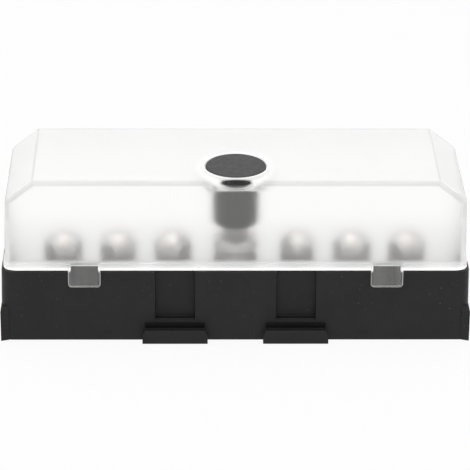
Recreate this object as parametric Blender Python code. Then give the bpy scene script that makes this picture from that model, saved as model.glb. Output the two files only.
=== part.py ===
"""A covered bus bar for battery cables, in metres, +Z up, centred on its footprint at z = 0.

A black moulded tray carries a flat bar on six captive M8 studs and one M10 centre stud. A frosted
cover stands on the tray's rim, and a round knob, screwed onto the centre stud, holds it down.
Every height is counted up from the underside, every length outwards from the row of studs.
"""

import math

import bmesh
import bpy
from mathutils import Matrix, Vector

MM = 0.001

# Room between two pieces that touch, and round a thread, which is drawn as a plain cylinder.
GAP = 0.3 * MM
THREAD_ROOM = 0.2 * MM
BOLT_ROOM = 0.3 * MM

# The row of studs.
STUDS_PER_SIDE = 3
STUD_PITCH = 21.4 * MM
CENTRE_PITCH = 24.2 * MM

# The flat bar.
BAR_WIDTH = 20.0 * MM
BAR_THICKNESS = 5.0 * MM
BAR_END = 10.0 * MM
BAR_CORNER = 3.0 * MM
BAR_EDGE = 0.4 * MM

# M8 studs, which are hexagon bolts put in from below, and what each one carries.
STUD_DIAMETER = 8.0 * MM
STUD_HEAD_FLATS = 13.0 * MM
STUD_HEAD_HEIGHT = 5.3 * MM
STUD_RISE_IN_NUT = 9.5 * MM
STUD_TIP_ROOM = 1.5 * MM
WASHER_DIAMETER = 16.0 * MM
WASHER_THICKNESS = 1.6 * MM
SPRING_DIAMETER = 14.8 * MM
SPRING_THICKNESS = 2.0 * MM
CAP_NUT_FLATS = 13.0 * MM
CAP_NUT_HEIGHT = 15.0 * MM
CAP_NUT_BALL_PAST_CORNERS = 0.1 * MM
CAP_NUT_TURNS = (8.0, 22.0, -14.0, 26.0, -4.0, 12.0)

# The M10 centre stud and what it carries.
CENTRE_DIAMETER = 10.0 * MM
CENTRE_HEAD_FLATS = 17.0 * MM
CENTRE_HEAD_HEIGHT = 6.4 * MM
CENTRE_STUD_RISE = 14.6 * MM
CENTRE_WASHER_DIAMETER = 20.0 * MM
CENTRE_WASHER_THICKNESS = 2.0 * MM
CENTRE_SPRING_DIAMETER = 18.1 * MM
CENTRE_SPRING_THICKNESS = 2.2 * MM
CENTRE_NUT_FLATS = 17.0 * MM
CENTRE_NUT_HEIGHT = 8.0 * MM
LOCK_NUT_HEIGHT = 5.0 * MM
CENTRE_NUT_TURN = 30.0
SPLIT_WIDTH = 1.4 * MM
SPLIT_LEAN = math.radians(7.0)
NUT_CHAMFER = 0.95
PAST_CORNERS = 1.02

# The moulded tray.
WALL = 3.5 * MM
FLOOR = 3.0 * MM
SEAT_HEIGHT = 14.7 * MM
SEAT_MARGIN = 0.9 * MM
HEAD_RECESS = 1.4 * MM
RIM_ABOVE_BAR = 8.9 * MM
END_SPACE = 10.2 * MM
FRONT_CHANNEL = 1.9 * MM
TROUGH = 29.8 * MM
FACE_FLARE = 0.75 * MM
END_FLARE = 0.5 * MM
TRAY_CORNER = 4.0 * MM
TRAY_EDGE = 0.5 * MM
INSIDE_CORNER = 2.0 * MM
SCREW_HOLE = 5.2 * MM
SCREW_BOSS = 10.0 * MM
SCREW_BOSS_HEIGHT = 4.0 * MM
SCREW_TO_END_WALL = 6.0 * MM
SCREW_TO_LONG_WALL = 6.5 * MM

# Square feet that fill out the tray's rounded corners low down.
CORNER_FOOT_HEIGHT = 14.0 * MM
CORNER_FOOT_REACH = 1.1 * MM
CORNER_FOOT_SIDE = 0.1 * MM
CORNER_FOOT_LENGTH = 3.2 * MM
CORNER_FOOT_BEVEL = 1.4 * MM

# Open bays in the rear wall, one for the cable of each stud, parted by ribs and by pillars behind the clips.
BAY_SILL = 9.0 * MM
BAY_RIB = 2.4 * MM
BAY_CORNER = 3.0 * MM
BAY_END = 6.7 * MM
PILLAR_MARGIN = 0.4 * MM

# Thin panels in the front wall that are broken out for more cables. A shelf for a cable tie is below each,
# and in the same place behind.
EXIT_SHIFT = 0.7 * MM
EXIT_WIDTH = 15.0 * MM
EXIT_SILL = 8.9 * MM
EXIT_SKIN = 1.0 * MM
EXIT_MOUTH = 0.3 * MM
SILL_STEP_HEIGHT = 0.7 * MM
SILL_STEP_DEPTH = 0.9 * MM
SHELF_WIDTH = 25.4 * MM
SHELF_REACH = 3.7 * MM
SHELF_HEIGHT = 5.7 * MM
SHELF_LIP = 1.0 * MM
SHELF_GROOVE = 0.8 * MM
SHELF_GROOVE_DEPTH = 2.2 * MM
SHELF_RIB = 0.9 * MM
TIE_SLOT_DEPTH = 0.8 * MM
TIE_SLOT_RISE = 1.5 * MM
SHELF_BEVEL = 1.1 * MM
SHELF_BEVEL_DROP = 2.64 * MM

# The frosted cover.
COVER_WALL = 2.0 * MM
COVER_HEIGHT = 36.9 * MM
COVER_SHOULDER = 8.4 * MM
COVER_SHOULDER_RUN = 10.6 * MM
COVER_DRAFT = 0.8 * MM
COVER_FILLET = 2.8 * MM
COVER_BEND = 2.6 * MM
SMALLEST_FILLET = 0.8 * MM
SMALLEST_BEND = 0.6 * MM
FLANGE_INSET = 0.7 * MM
FLANGE_STEP = 0.5 * MM
FLANGE_HEIGHT = 3.1 * MM
FLANGE_CORNER = 5.0 * MM
FLANGE_EDGE = 0.5 * MM
CLIP_SHIFT = 2.2 * MM
CLIP_WIDTH = 12.4 * MM
CLIP_THICKNESS = 1.4 * MM
CLIP_DROP = 5.7 * MM
CLIP_CORNER = 1.3 * MM
CLIP_RISE = 0.5 * MM
CATCH_SIDE = 1.0 * MM
CATCH_RISE = 2.6 * MM
NOTCH_BITE = 0.05 * MM

# The knob in its well in the cover.
KNOB_OVERHANG = 2.85 * MM
KNOB_HEAD_THICKNESS = 3.6 * MM
KNOB_PROUD = 1.2 * MM
KNOB_EDGE = 0.4 * MM
SLEEVE_WALL = 2.15 * MM
SLEEVE_LIP = 1.2 * MM
SLEEVE_MOUTH_ROOM = 1.0 * MM
SLEEVE_BORE_ROOM = 0.5 * MM
SLEEVE_TOP_WALL = 4.0 * MM
SLEEVE_ABOVE_NUT = 5.7 * MM
WELL_ROOM = 0.5 * MM
WELL_FLOOR = 1.2 * MM
COLLAR_WALL = 1.1 * MM
COLLAR_PROUD = 1.2 * MM
COLLAR_EDGE = 0.4 * MM
WELL_WALL = 2.9 * MM
SLIP_WASHER_THICKNESS = 0.7 * MM
INSERT_WALL = 1.3 * MM
INSERT_LENGTH = 12.0 * MM
INSERT_GROOVE = 0.8 * MM
INSERT_BAND = 3.5 * MM

ROUND_STEPS = 48
SMALL_ROUND_STEPS = 24
CORNER_STEPS = 6
FILLET_STEPS = 4

# What follows from the sizes above: heights up the stack of pieces first.
bar_bottom = SEAT_HEIGHT + GAP
bar_top = bar_bottom + BAR_THICKNESS
rim_height = bar_top + RIM_ABOVE_BAR
washer_bottom = bar_top + GAP
spring_bottom = washer_bottom + WASHER_THICKNESS + GAP
cap_nut_bottom = spring_bottom + SPRING_THICKNESS + GAP
centre_spring_bottom = washer_bottom + CENTRE_WASHER_THICKNESS + GAP
centre_nut_bottom = centre_spring_bottom + CENTRE_SPRING_THICKNESS + GAP
lock_nut_bottom = centre_nut_bottom + CENTRE_NUT_HEIGHT + GAP
lock_nut_top = lock_nut_bottom + LOCK_NUT_HEIGHT
centre_stud_top = lock_nut_top + CENTRE_STUD_RISE
stud_top = cap_nut_bottom + STUD_RISE_IN_NUT

# Plan sizes of the tray at its rim, and the row's place in it.
bar_half = CENTRE_PITCH + (STUDS_PER_SIDE - 1) * STUD_PITCH + BAR_END
inside_half_length = bar_half + END_SPACE
inside_half_depth = (FRONT_CHANNEL + BAR_WIDTH + TROUGH) / 2
tray_half_length = inside_half_length + WALL
tray_half_depth = inside_half_depth + WALL
row_y = -inside_half_depth + FRONT_CHANNEL + BAR_WIDTH / 2
side_xs = [CENTRE_PITCH + k * STUD_PITCH for k in range(STUDS_PER_SIDE)]
stud_xs = [-x for x in reversed(side_xs)] + side_xs
middles = [(near + far) / 2 for near, far in zip([0.0] + side_xs, side_xs)]
exit_x = CENTRE_PITCH - EXIT_SHIFT
clip_x = middles[-1] + CLIP_SHIFT

# The cover's outline and the knob's heights.
cover_bottom = rim_height + GAP
cover_top = cover_bottom + COVER_HEIGHT
flange_half_length = tray_half_length - FLANGE_INSET
flange_half_depth = tray_half_depth - FLANGE_INSET
cover_half_length = flange_half_length - FLANGE_STEP
cover_half_depth = flange_half_depth - FLANGE_STEP
clip_inner = tray_half_depth + FACE_FLARE * CLIP_DROP / rim_height + GAP
clip_top = cover_bottom + FLANGE_HEIGHT + CLIP_RISE
catch_top = rim_height + CATCH_RISE
knob_top = cover_top + KNOB_PROUD
knob_head_bottom = knob_top - KNOB_HEAD_THICKNESS
slip_washer_bottom = knob_head_bottom - GAP - SLIP_WASHER_THICKNESS
well_floor = slip_washer_bottom - GAP
sleeve_bottom = lock_nut_top + SLEEVE_ABOVE_NUT
insert_diameter = CENTRE_DIAMETER + 2 * (THREAD_ROOM + INSERT_WALL)
sleeve_diameter = insert_diameter + 2 * (THREAD_ROOM + SLEEVE_WALL)
knob_diameter = sleeve_diameter + 2 * KNOB_OVERHANG
insert_bottom = sleeve_bottom + SLEEVE_LIP + GAP
insert_top = insert_bottom + INSERT_LENGTH


def clear_scene():
    """Removes every object, so that the script gives the same result in any file."""
    for thing in list(bpy.data.objects):
        bpy.data.objects.remove(thing, do_unlink=True)


def finish(name, colour, roughness, metallic=0.0, transmission=0.0):
    """A plain Principled material."""
    material = bpy.data.materials.new(name)
    material.use_nodes = True
    shader = material.node_tree.nodes["Principled BSDF"]
    shader.inputs["Base Color"].default_value = (*colour, 1.0)
    shader.inputs["Roughness"].default_value = roughness
    shader.inputs["Metallic"].default_value = metallic
    shader.inputs["Transmission Weight"].default_value = transmission
    return material


def place(name, mesh, material=None, position=(0.0, 0.0, 0.0), turn=0.0, parent=None):
    """A scene object for a mesh, turned about Z and set at a point in the frame of its parent."""
    thing = bpy.data.objects.new(name, mesh)
    bpy.context.scene.collection.objects.link(thing)
    thing.parent = parent
    thing.location = position
    thing.rotation_euler.z = turn
    if material and not mesh.materials:
        mesh.materials.append(material)
    return thing


def rings_mesh(name, rings, endless=False):
    """Skins a row of rings that have equal numbers of points, and closes it with end faces or end to end."""
    mesh = bmesh.new()
    loops = [[mesh.verts.new(point) for point in ring] for ring in rings]
    count = len(rings[0])
    pairs = list(zip(loops, loops[1:]))
    if endless:
        pairs.append((loops[-1], loops[0]))
    else:
        mesh.faces.new(loops[0][::-1])
        mesh.faces.new(loops[-1])
    for low, high in pairs:
        for i in range(count):
            j = (i + 1) % count
            mesh.faces.new((low[i], low[j], high[j], high[i]))
    bmesh.ops.remove_doubles(mesh, verts=mesh.verts, dist=1e-7)
    bmesh.ops.dissolve_degenerate(mesh, edges=mesh.edges, dist=1e-8)
    bmesh.ops.recalc_face_normals(mesh, faces=mesh.faces)
    data = bpy.data.meshes.new(name)
    mesh.to_mesh(data)
    mesh.free()
    return data


def circle(radius, height, steps):
    return [
        Vector((radius * math.cos(a), radius * math.sin(a), height))
        for a in (2 * math.pi * i / steps for i in range(steps))
    ]


def turned(name, profile, steps=ROUND_STEPS, endless=False):
    """Turns a profile of (radius, height) points about Z. An endless one is a ring with a hole."""
    return rings_mesh(name, [circle(radius, height, steps) for radius, height in profile], endless)


def arc(centre, radius, start, end, steps=CORNER_STEPS):
    """Points on an arc about a 2-D centre, with angles in degrees."""
    angles = (math.radians(start + (end - start) * i / steps) for i in range(steps + 1))
    return [(centre[0] + radius * math.cos(a), centre[1] + radius * math.sin(a)) for a in angles]


def rounded_rectangle(half_x, half_y, radius):
    """The outline of a rectangle with round corners, counter-clockwise from its +X side."""
    x, y = half_x - radius, half_y - radius
    points = []
    for sign_x, sign_y, start in ((1, 1, 0), (-1, 1, 90), (-1, -1, 180), (1, -1, 270)):
        points += arc((sign_x * x, sign_y * y), radius, start, start + 90)
    return points


def block(name, half_x, half_y, low, high, radius, edge=0.0, flare=(0.0, 0.0), soft_low=False):
    """A round-cornered block from low to high: flare widens its foot, edge rounds its top and soft_low its foot."""
    levels = [(low, 0.0)]
    if soft_low:
        levels = [(low + edge * (1 - math.sin(a)), edge * (1 - math.cos(a))) for a in (math.pi / 2, math.pi / 4, 0)]
    if edge:
        levels += [(high - edge * (1 - math.sin(a)), edge * (1 - math.cos(a))) for a in (0, math.pi / 4, math.pi / 2)]
    else:
        levels.append((high, 0.0))
    rings = []
    for z, inset in levels:
        spread = (high - z) / (high - low)
        outline = rounded_rectangle(
            half_x + flare[0] * spread - inset, half_y + flare[1] * spread - inset, radius - inset
        )
        rings.append([Vector((x, y, z)) for x, y in outline])
    return rings_mesh(name, rings)


def box(name, low, high, mouth=0.0):
    """A box between two corners, which widens by mouth towards its high corner's Y side."""
    rings = []
    for y, wide in ((low[1], 0.0), (high[1], mouth)):
        rings.append([
            Vector((low[0] - wide, y, low[2] - wide)),
            Vector((high[0] + wide, y, low[2] - wide)),
            Vector((high[0] + wide, y, high[2])),
            Vector((low[0] - wide, y, high[2])),
        ])
    return rings_mesh(name, rings)


def hexagon(flats, low, high):
    """A hexagonal prism with two of its corners on the X axis."""
    corner = flats / math.sqrt(3)
    return rings_mesh("hexagon", [circle(corner, z, 6) for z in (low, high)])


def combine(target, mesh, operation, position=(0.0, 0.0, 0.0)):
    """Joins a mesh to an object, cuts it away or keeps what both share, and bakes the result."""
    tool = place("tool", mesh, position=position)
    tool.hide_render = True
    tool.display_type = "WIRE"
    step = target.modifiers.new(operation.lower(), "BOOLEAN")
    step.operation = operation
    step.object = tool
    bpy.context.view_layer.update()
    graph = bpy.context.evaluated_depsgraph_get()
    result = bpy.data.meshes.new_from_object(target.evaluated_get(graph))
    target.modifiers.clear()
    target.data = result
    bpy.data.objects.remove(tool, do_unlink=True)


def smooth(mesh, angle=35.0):
    """Shades the round stretches smooth and leaves the corners sharp."""
    mesh.shade_smooth()
    mesh.set_sharp_from_angle(angle=math.radians(angle))


def solid_from(mesh, steps, material):
    """Bakes a row of (mesh, operation, position) steps onto a mesh and gives back the shaded result."""
    body = place("body", mesh)
    for tool, operation, position in steps:
        combine(body, tool, operation, position)
    result = body.data
    bpy.data.objects.remove(body, do_unlink=True)
    result.materials.clear()
    result.materials.append(material)
    smooth(result)
    return result


def bolt_mesh(diameter, flats, head_height, length, material):
    """A hexagon bolt standing on its head, with its tip chamfered."""
    tip = 0.1 * diameter
    radius = diameter / 2
    shank = turned(
        "shank", [(radius, head_height / 2), (radius, length - tip), (radius - tip, length)], SMALL_ROUND_STEPS
    )
    return solid_from(hexagon(flats, 0.0, head_height), [(shank, "UNION", (0, 0, 0))], material)


def washer_mesh(bore, diameter, thickness, material):
    """A flat ring."""
    inner, outer = bore / 2, diameter / 2
    profile = [(inner, 0.0), (outer, 0.0), (outer, thickness), (inner, thickness)]
    mesh = turned("washer", profile, 36, endless=True)
    mesh.materials.append(material)
    smooth(mesh)
    return mesh


def spring_washer_mesh(bore, diameter, thickness, material):
    """A square-section ring, cut through by one leaning split."""
    inner, outer, steps = bore / 2, diameter / 2, 32
    half_split = SPLIT_WIDTH / diameter
    lean = SPLIT_LEAN / 2
    sections = []
    for i in range(steps + 1):
        turn = half_split + (2 * math.pi - 2 * half_split) * i / steps
        section = []
        for radius, z, side in ((inner, 0.0, -1), (outer, 0.0, -1), (outer, thickness, 1), (inner, thickness, 1)):
            a = turn + side * lean
            section.append(Vector((radius * math.cos(a), radius * math.sin(a), z)))
        sections.append(section)
    mesh = rings_mesh("spring_washer", sections)
    mesh.materials.append(material)
    smooth(mesh)
    return mesh


def nut_mesh(bore, flats, height, material):
    """A hexagon nut, chamfered at both ends."""
    face, corner = NUT_CHAMFER * flats / 2, PAST_CORNERS * flats / math.sqrt(3)
    rise = (corner - face) * math.tan(math.radians(30))
    cone = turned("cone", [(face, 0.0), (corner, rise), (corner, height - rise), (face, height)], 36)
    hole = turned("bore", [(bore / 2, -MM), (bore / 2, height + MM)], SMALL_ROUND_STEPS)
    origin = (0, 0, 0)
    return solid_from(hexagon(flats, 0.0, height), [(cone, "INTERSECT", origin), (hole, "DIFFERENCE", origin)], material)


def cap_nut_mesh(bore, material):
    """A closed hexagon nut whose top is turned to a ball as wide as its corners, with a blind hole from below."""
    face = NUT_CHAMFER * CAP_NUT_FLATS / 2
    ball = CAP_NUT_FLATS / math.sqrt(3) + CAP_NUT_BALL_PAST_CORNERS
    profile = [(face, 0.0), (ball, (ball - face) * math.tan(math.radians(30)))]
    profile += arc((0.0, CAP_NUT_HEIGHT - ball), ball, 0, 90, 9)
    depth = STUD_RISE_IN_NUT + STUD_TIP_ROOM
    hole = turned("bore", [(bore / 2, -MM), (bore / 2, depth)], SMALL_ROUND_STEPS)
    origin = (0, 0, 0)
    steps = [(turned("ball", profile, 36), "INTERSECT", origin), (hole, "DIFFERENCE", origin)]
    return solid_from(hexagon(CAP_NUT_FLATS, 0.0, CAP_NUT_HEIGHT + MM), steps, material)


def bus_bar_mesh(material):
    """The flat bar, with a clearance hole for each stud."""
    bar = block("bar", bar_half, BAR_WIDTH / 2, 0.0, BAR_THICKNESS, BAR_CORNER, BAR_EDGE, soft_low=True)
    steps = []
    for x, diameter in [(x, STUD_DIAMETER) for x in stud_xs] + [(0.0, CENTRE_DIAMETER)]:
        radius = diameter / 2 + BOLT_ROOM
        hole = turned("hole", [(radius, -MM), (radius, BAR_THICKNESS + MM)], SMALL_ROUND_STEPS)
        steps.append((hole, "DIFFERENCE", (x, 0, 0)))
    return solid_from(bar, steps, material)


def corner_foot(sign_x, sign_y):
    """A square foot at one corner, whose top is bevelled back to the tray's walls."""
    side = tray_half_length + END_FLARE + CORNER_FOOT_SIDE
    face = tray_half_depth + FACE_FLARE
    reach = face + CORNER_FOOT_REACH
    inner_x, inner_y = side - CORNER_FOOT_LENGTH, face - 2 * CORNER_FOOT_LENGTH
    rings = []
    for z, back in ((0.0, 0.0), (CORNER_FOOT_HEIGHT - CORNER_FOOT_BEVEL, 0.0), (CORNER_FOOT_HEIGHT, CORNER_FOOT_BEVEL)):
        outline = [
            (inner_x, face - WALL / 2),
            (inner_x, face - back / 2),
            (side - back / 4, reach - back),
            (side - back / 4, inner_y),
            (side - WALL / 2, inner_y),
        ]
        rings.append([Vector((sign_x * x, sign_y * y, z)) for x, y in outline])
    return rings_mesh("corner_foot", rings)


def tie_shelf(x, sign_y):
    """A shelf under a cable exit, with its upper corners cut off and two grooves along its top."""
    root = tray_half_depth - WALL / 2
    front = tray_half_depth + FACE_FLARE + SHELF_REACH
    half, top = SHELF_WIDTH / 2, SHELF_HEIGHT
    outline = [(-half, 0.0), (half, 0.0), (half, top - SHELF_BEVEL_DROP), (half - SHELF_BEVEL, top)]
    outline += [(SHELF_BEVEL - half, top), (-half, top - SHELF_BEVEL_DROP)]
    return rings_mesh("shelf", [[Vector((x + u, sign_y * y, z)) for u, z in outline] for y in (root, front)])


def tray_mesh(material):
    """The tray: walls, floor, the seat for the bar, cable bays and exits, feet, shelves and the clips' catches."""
    body = block(
        "tray", tray_half_length, tray_half_depth, 0.0, rim_height, TRAY_CORNER, TRAY_EDGE, (END_FLARE, FACE_FLARE)
    )
    origin = (0, 0, 0)
    steps = []
    for sign_x in (-1, 1):
        for sign_y in (-1, 1):
            steps.append((corner_foot(sign_x, sign_y), "UNION", origin))
            steps.append((tie_shelf(sign_x * exit_x, sign_y), "UNION", origin))
    hollow = block("hollow", inside_half_length, inside_half_depth, FLOOR, rim_height + MM, INSIDE_CORNER)
    steps.append((hollow, "DIFFERENCE", origin))
    seat_back = row_y + BAR_WIDTH / 2 + SEAT_MARGIN
    seat_end = bar_half + SEAT_MARGIN
    front_root = -inside_half_depth - WALL / 2
    seat = box("seat", (-seat_end, front_root, FLOOR / 2), (seat_end, seat_back, SEAT_HEIGHT))
    steps.append((seat, "UNION", origin))
    steps += [(mesh, "UNION", place_at) for mesh, place_at in screw_bosses()]
    steps += [(catch(sign_x, sign_y), "UNION", origin) for sign_x in (-1, 1) for sign_y in (-1, 1)]
    steps += [(mesh, "DIFFERENCE", origin) for mesh in bay_cuts() + exit_cuts() + tie_cuts()]
    steps += [(mesh, "DIFFERENCE", place_at) for mesh, place_at in bolt_cuts() + screw_cuts()]
    return solid_from(body, steps, material)


def screw_places():
    x = inside_half_length - SCREW_TO_END_WALL
    y = inside_half_depth - SCREW_TO_LONG_WALL
    return [(sign_x * x, sign_y * y, 0) for sign_x in (-1, 1) for sign_y in (-1, 1)]


def screw_bosses():
    """Low round bosses on the floor, one for each fixing screw."""
    top = FLOOR + SCREW_BOSS_HEIGHT
    profile = [(SCREW_BOSS / 2, FLOOR / 2), (SCREW_BOSS / 2, top)]
    return [(turned("boss", profile, SMALL_ROUND_STEPS), spot) for spot in screw_places()]


def screw_cuts():
    top = FLOOR + SCREW_BOSS_HEIGHT + MM
    profile = [(SCREW_HOLE / 2, -MM), (SCREW_HOLE / 2, top)]
    return [(turned("screw_hole", profile, SMALL_ROUND_STEPS), spot) for spot in screw_places()]


def bay_edges():
    """The left and right end of each open bay, from the middle outwards and then mirrored."""
    dividers = [(x - BAY_RIB / 2, x + BAY_RIB / 2) for x in middles[:-1]]
    pillar = CLIP_WIDTH / 2 + PILLAR_MARGIN
    dividers.append((clip_x - pillar, clip_x + pillar))
    ends = [low for low, high in dividers[1:]] + [inside_half_length - BAY_END]
    right = [(high, end) for (low, high), end in zip(dividers, ends)]
    return [(-dividers[0][0], dividers[0][0])] + right + [(-high, -low) for low, high in right]


def bay_cuts():
    """Opens the rear wall from a sill with round corners up to the rim, in each bay."""
    cuts = []
    inner, outer = inside_half_depth - MM, tray_half_depth + FACE_FLARE + MM
    low, r = BAY_SILL, BAY_CORNER
    for left, right in bay_edges():
        outline = arc((right - r, low + r), r, 270, 360) + [(right, rim_height + MM), (left, rim_height + MM)]
        outline += arc((left + r, low + r), r, 180, 270)
        cuts.append(rings_mesh("bay", [[Vector((x, y, z)) for x, z in outline] for y in (inner, outer)]))
    return cuts


def exit_cuts():
    """Cuts the front wall down to a skin at each cable exit, with a shallow step at the front of its sill."""
    cuts = []
    half = EXIT_WIDTH / 2
    skin_y = inside_half_depth + EXIT_SKIN
    outside = tray_half_depth + FACE_FLARE
    mouth_y = outside + MM
    widening = EXIT_MOUTH * (mouth_y - skin_y) / (outside - skin_y)
    step_y = outside - SILL_STEP_DEPTH
    low_step = EXIT_SILL - SILL_STEP_HEIGHT
    for x in (-exit_x, exit_x):
        low, high = (x - half, -skin_y, EXIT_SILL), (x + half, -mouth_y, rim_height + MM)
        cuts.append(box("exit", low, high, widening))
        low, high = (x - half, -step_y, low_step), (x + half, -mouth_y, EXIT_SILL + MM)
        cuts.append(box("sill", low, high))
    return cuts


def tie_cuts():
    """Grooves each shelf behind its lip, and again behind its rib, where a cable tie passes into the wall."""
    cuts = []
    outside = tray_half_depth + FACE_FLARE
    groove_front = outside + SHELF_REACH - SHELF_LIP
    slot_front = groove_front - SHELF_GROOVE - SHELF_RIB
    low_z, top_z = SHELF_HEIGHT - SHELF_GROOVE_DEPTH, SHELF_HEIGHT + TIE_SLOT_RISE
    half = SHELF_WIDTH / 2 - SHELF_BEVEL
    for x in (-exit_x, exit_x):
        for side in (-1, 1):
            groove_back = side * (groove_front - SHELF_GROOVE)
            low, high = (x - SHELF_WIDTH, side * groove_front, low_z), (x + SHELF_WIDTH, groove_back, top_z)
            cuts.append(box("groove", low, high))
            slot_back = side * (outside - TIE_SLOT_DEPTH)
            cuts.append(box("slot", (x - half, side * slot_front, low_z), (x + half, slot_back, top_z)))
    return cuts


def bolt_cuts():
    """A hexagonal pocket for each bolt head in the underside, and its shank's hole up through the seat."""
    cuts = []
    sizes = [(x, STUD_DIAMETER, STUD_HEAD_FLATS, STUD_HEAD_HEIGHT) for x in stud_xs]
    sizes.append((0.0, CENTRE_DIAMETER, CENTRE_HEAD_FLATS, CENTRE_HEAD_HEIGHT))
    for x, diameter, flats, head in sizes:
        pocket = hexagon(flats + 2 * BOLT_ROOM, -MM, HEAD_RECESS + head + GAP)
        radius = diameter / 2 + BOLT_ROOM
        hole = turned("hole", [(radius, 0.0), (radius, SEAT_HEIGHT + MM)], SMALL_ROUND_STEPS)
        cuts += [(pocket, (x, row_y, 0)), (hole, (x, row_y, 0))]
    return cuts


def offset_corners(inset, low):
    """The cover's end view as corner points, with its lean, its shoulder and its top moved in by inset."""
    shoulder_z = cover_top - COVER_SHOULDER
    foot = cover_half_length
    lean = COVER_DRAFT / (shoulder_z - cover_bottom)
    shoulder_x = foot - COVER_DRAFT
    slope = math.atan2(COVER_SHOULDER, COVER_SHOULDER_RUN)
    wall_angle = math.atan(lean)
    wall_shift = inset / math.cos(wall_angle)
    slope_shift = inset / math.sin(slope)
    top = cover_top - inset
    # The shoulder runs along x = shoulder_x - (z - shoulder_z) / tan(slope), moved in along X by slope_shift.
    bend_z = shoulder_z - (slope_shift - wall_shift) / (1 / math.tan(slope) - lean)
    bend_x = shoulder_x - wall_shift - (bend_z - shoulder_z) * lean
    top_x = shoulder_x - slope_shift - (top - shoulder_z) / math.tan(slope)
    low_x = foot - wall_shift - (low - cover_bottom) * lean
    return [(low_x, low), (bend_x, bend_z), (top_x, top)]


def rounded_corner(before, corner, after, radius):
    """Points of a round corner between two straight runs."""
    one = (Vector(before) - Vector(corner)).normalized()
    two = (Vector(after) - Vector(corner)).normalized()
    half_angle = one.angle(two) / 2
    reach = radius / math.tan(half_angle)
    centre = Vector(corner) + (one + two).normalized() * (radius / math.sin(half_angle))
    start = Vector(corner) + one * reach - centre
    end = Vector(corner) + two * reach - centre
    swing = start.angle_signed(end)
    return [centre + Matrix.Rotation(-swing * i / FILLET_STEPS, 2) @ start for i in range(FILLET_STEPS + 1)]


def cover_outline(inset, low):
    """The whole end view of the cover, counter-clockwise seen from the front."""
    foot, bend, top = offset_corners(inset, low)
    radius = max(COVER_BEND - inset, SMALLEST_BEND)
    middle = (0.0, top[1])
    right = [Vector(foot)] + rounded_corner(foot, bend, top, radius) + rounded_corner(bend, top, middle, radius)
    left = [Vector((-point.x, point.y)) for point in reversed(right)]
    return right + left


def cover_shape(offset, low):
    """The cover's outside moved in by offset, as a solid from low up, with its front and back edges filleted."""
    fillet = max(COVER_FILLET - offset, SMALLEST_FILLET)
    depth = cover_half_depth - offset
    sections = []
    for side, order in ((-1, range(FILLET_STEPS + 1)), (1, reversed(range(FILLET_STEPS + 1)))):
        for i in order:
            a = math.pi / 2 * i / FILLET_STEPS
            inset = offset + fillet * (1 - math.sin(a))
            sections.append((side * (depth - fillet * (1 - math.cos(a))), inset))
    rings = []
    for y, inset in sections:
        ring = []
        for point in cover_outline(inset, low):
            lean = 1 - (point.y - cover_bottom) / COVER_HEIGHT * (COVER_DRAFT / 2) / cover_half_depth
            ring.append(Vector((point.x, y * lean, point.y)))
        rings.append(ring)
    return rings_mesh("cover_shape", rings)


def clip(sign_x, sign_y):
    """A tab with round lower corners that hangs from the flange over the tray's wall."""
    half = CLIP_WIDTH / 2
    bottom, top = rim_height - CLIP_DROP, clip_top
    x = sign_x * clip_x
    corner = CLIP_CORNER
    outline = arc((half - corner, bottom + corner), corner, 270, 360) + [(half, top), (-half, top)]
    outline += arc((corner - half, bottom + corner), corner, 180, 270)
    rings = [[Vector((x + u, sign_y * y, z)) for u, z in outline] for y in (clip_inner, clip_inner + CLIP_THICKNESS)]
    return rings_mesh("clip", rings)


def clip_root(sign_x, sign_y):
    """Joins a clip to the flange above the tray's rim."""
    half = CLIP_WIDTH / 2
    x = sign_x * clip_x
    inner = cover_half_depth - COVER_WALL / 2
    outer = clip_inner + CLIP_THICKNESS / 2
    return box("clip_root", (x - half, sign_y * inner, cover_bottom), (x + half, sign_y * outer, clip_top))


def clip_notch(sign_x, sign_y):
    """Opens the flange from below behind a clip, as far as the cover's wall, for the tray's catch."""
    half = CLIP_WIDTH / 2 - CATCH_SIDE + GAP
    x = sign_x * clip_x
    low = (x - half, sign_y * (cover_half_depth - NOTCH_BITE), cover_bottom - MM)
    return box("notch", low, (x + half, sign_y * clip_inner, catch_top + GAP))


def catch(sign_x, sign_y):
    """A low block on the tray's rim that a clip hangs over."""
    half = CLIP_WIDTH / 2 - CATCH_SIDE
    x = sign_x * clip_x
    low = (x - half, sign_y * (cover_half_depth + GAP), rim_height - WALL)
    return box("catch", low, (x + half, sign_y * (tray_half_depth - NOTCH_BITE), catch_top))


def well_cut():
    """The knob's well from above: a hole for the sleeve and a round pocket for the head."""
    hole = sleeve_diameter / 2 + WELL_ROOM
    pocket = knob_diameter / 2 + WELL_ROOM
    return turned("well", [(hole, sleeve_bottom), (hole, well_floor), (pocket, well_floor), (pocket, knob_top + MM)])


def collar():
    """A low ring on the cover's top round the knob, with its upper edges rounded."""
    inner = knob_diameter / 2 + WELL_ROOM
    outer, top, edge = inner + COLLAR_WALL, cover_top + COLLAR_PROUD, COLLAR_EDGE
    profile = [(inner - edge, well_floor), (outer, well_floor)]
    profile += arc((outer - edge, top - edge), edge, 0, 90, 3) + arc((inner + edge, top - edge), edge, 90, 180, 3)
    profile.append((inner - edge, top - edge))
    return turned("collar", profile)


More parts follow.
